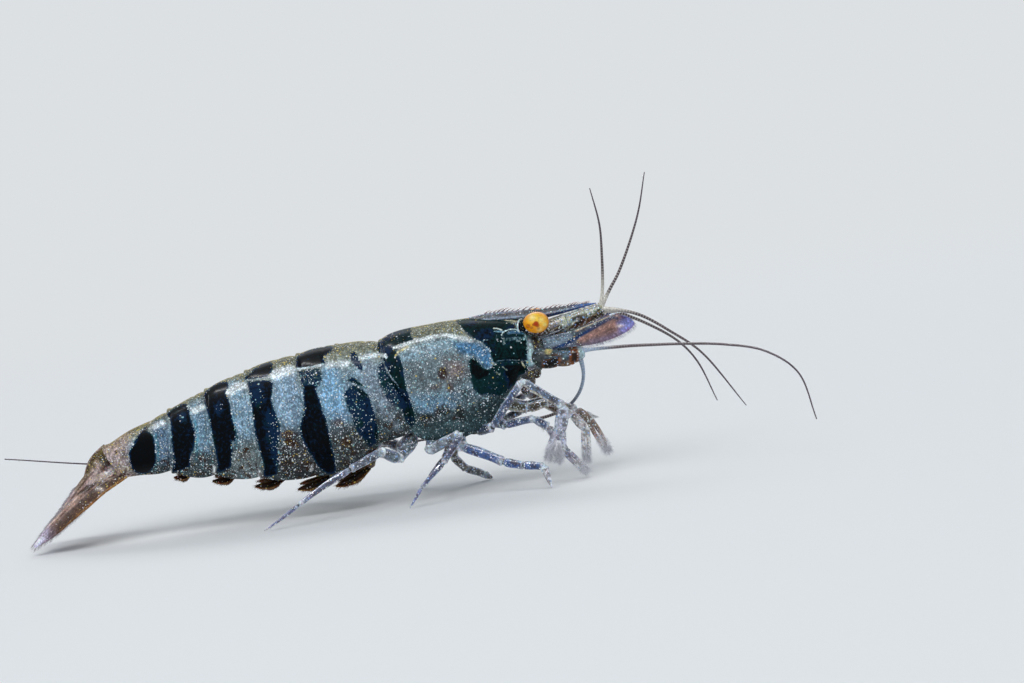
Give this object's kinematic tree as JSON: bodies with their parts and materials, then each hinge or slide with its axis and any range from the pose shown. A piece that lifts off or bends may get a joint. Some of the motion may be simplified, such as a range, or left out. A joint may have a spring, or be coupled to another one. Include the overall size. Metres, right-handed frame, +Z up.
{
  "type": "dwarf freshwater shrimp model",
  "caption": "Life-size still model of a banded dwarf freshwater shrimp standing on its toes, with long feelers, a toothed rostrum and a half-open tail fan.",
  "frame": {"origin": "centre of the bounding box's footprint, on the floor that the toes and the tail fan rest on", "axes": "+X from the tail to the head, +Y to the animal's left side, +Z up"},
  "size_m": [0.037, 0.0106, 0.0132],
  "materials": {
    "shell": "glassy blue-grey shell with near-black navy bands and fine white, gold and blue flecks",
    "limb": "translucent blue-grey with white flecks and paler joints",
    "feeler": "dark brown, finely ringed with pale dots",
    "scale": "clear pinkish blade with a dark blue outer edge",
    "eye": "glossy amber-orange with a darker spot",
    "eyestalk": "near-black with a pale blue rim",
    "swimmeret": "translucent amber brown with dark edges",
    "tail_fan": "translucent pinkish tan with orange-brown veins and a bluish tip"
  },
  "bodies": {
    "root": {"antenna_base_left": "limb", "antenna_base_right": "limb", "antenna_feeler_left": "feeler", "antenna_feeler_right": "feeler", "antennal_scale_left": "scale", "antennal_scale_right": "scale", "antennule_feeler_lower_left": "feeler", "antennule_feeler_lower_right": "feeler", "antennule_feeler_upper_left": "feeler", "antennule_feeler_upper_right": "feeler", "antennule_left": "limb", "antennule_right": "limb", "carapace": "shell", "eye_left": "eye", "eye_right": "eye", "eyestalk_left": "eyestalk", "eyestalk_right": "eyestalk", "head": "shell", "leg_1_left": "limb", "leg_1_right": "limb", "leg_2_left": "limb", "leg_2_right": "limb", "leg_3_left": "limb", "leg_3_right": "limb", "leg_4_left": "limb", "leg_4_right": "limb", "leg_5_left": "limb", "leg_5_right": "limb", "maxilliped_left": "limb", "maxilliped_right": "limb", "rostrum": "shell", "swimmeret_1_left": "swimmeret", "swimmeret_1_right": "swimmeret", "swimmeret_2_left": "swimmeret", "swimmeret_2_right": "swimmeret", "swimmeret_3_left": "swimmeret", "swimmeret_3_right": "swimmeret", "swimmeret_4_left": "swimmeret", "swimmeret_4_right": "swimmeret", "swimmeret_5_left": "swimmeret", "swimmeret_5_right": "swimmeret", "tail_fan_inner_left": "tail_fan", "tail_fan_inner_right": "tail_fan", "tail_fan_outer_left": "tail_fan", "tail_fan_outer_right": "tail_fan", "tail_ring_1": "shell", "tail_ring_2": "shell", "tail_ring_3": "shell", "tail_ring_4": "shell", "tail_ring_5": "shell", "tail_ring_6": "shell", "telson": "tail_fan", "thorax": "shell"}
  },
  "joints": []
}
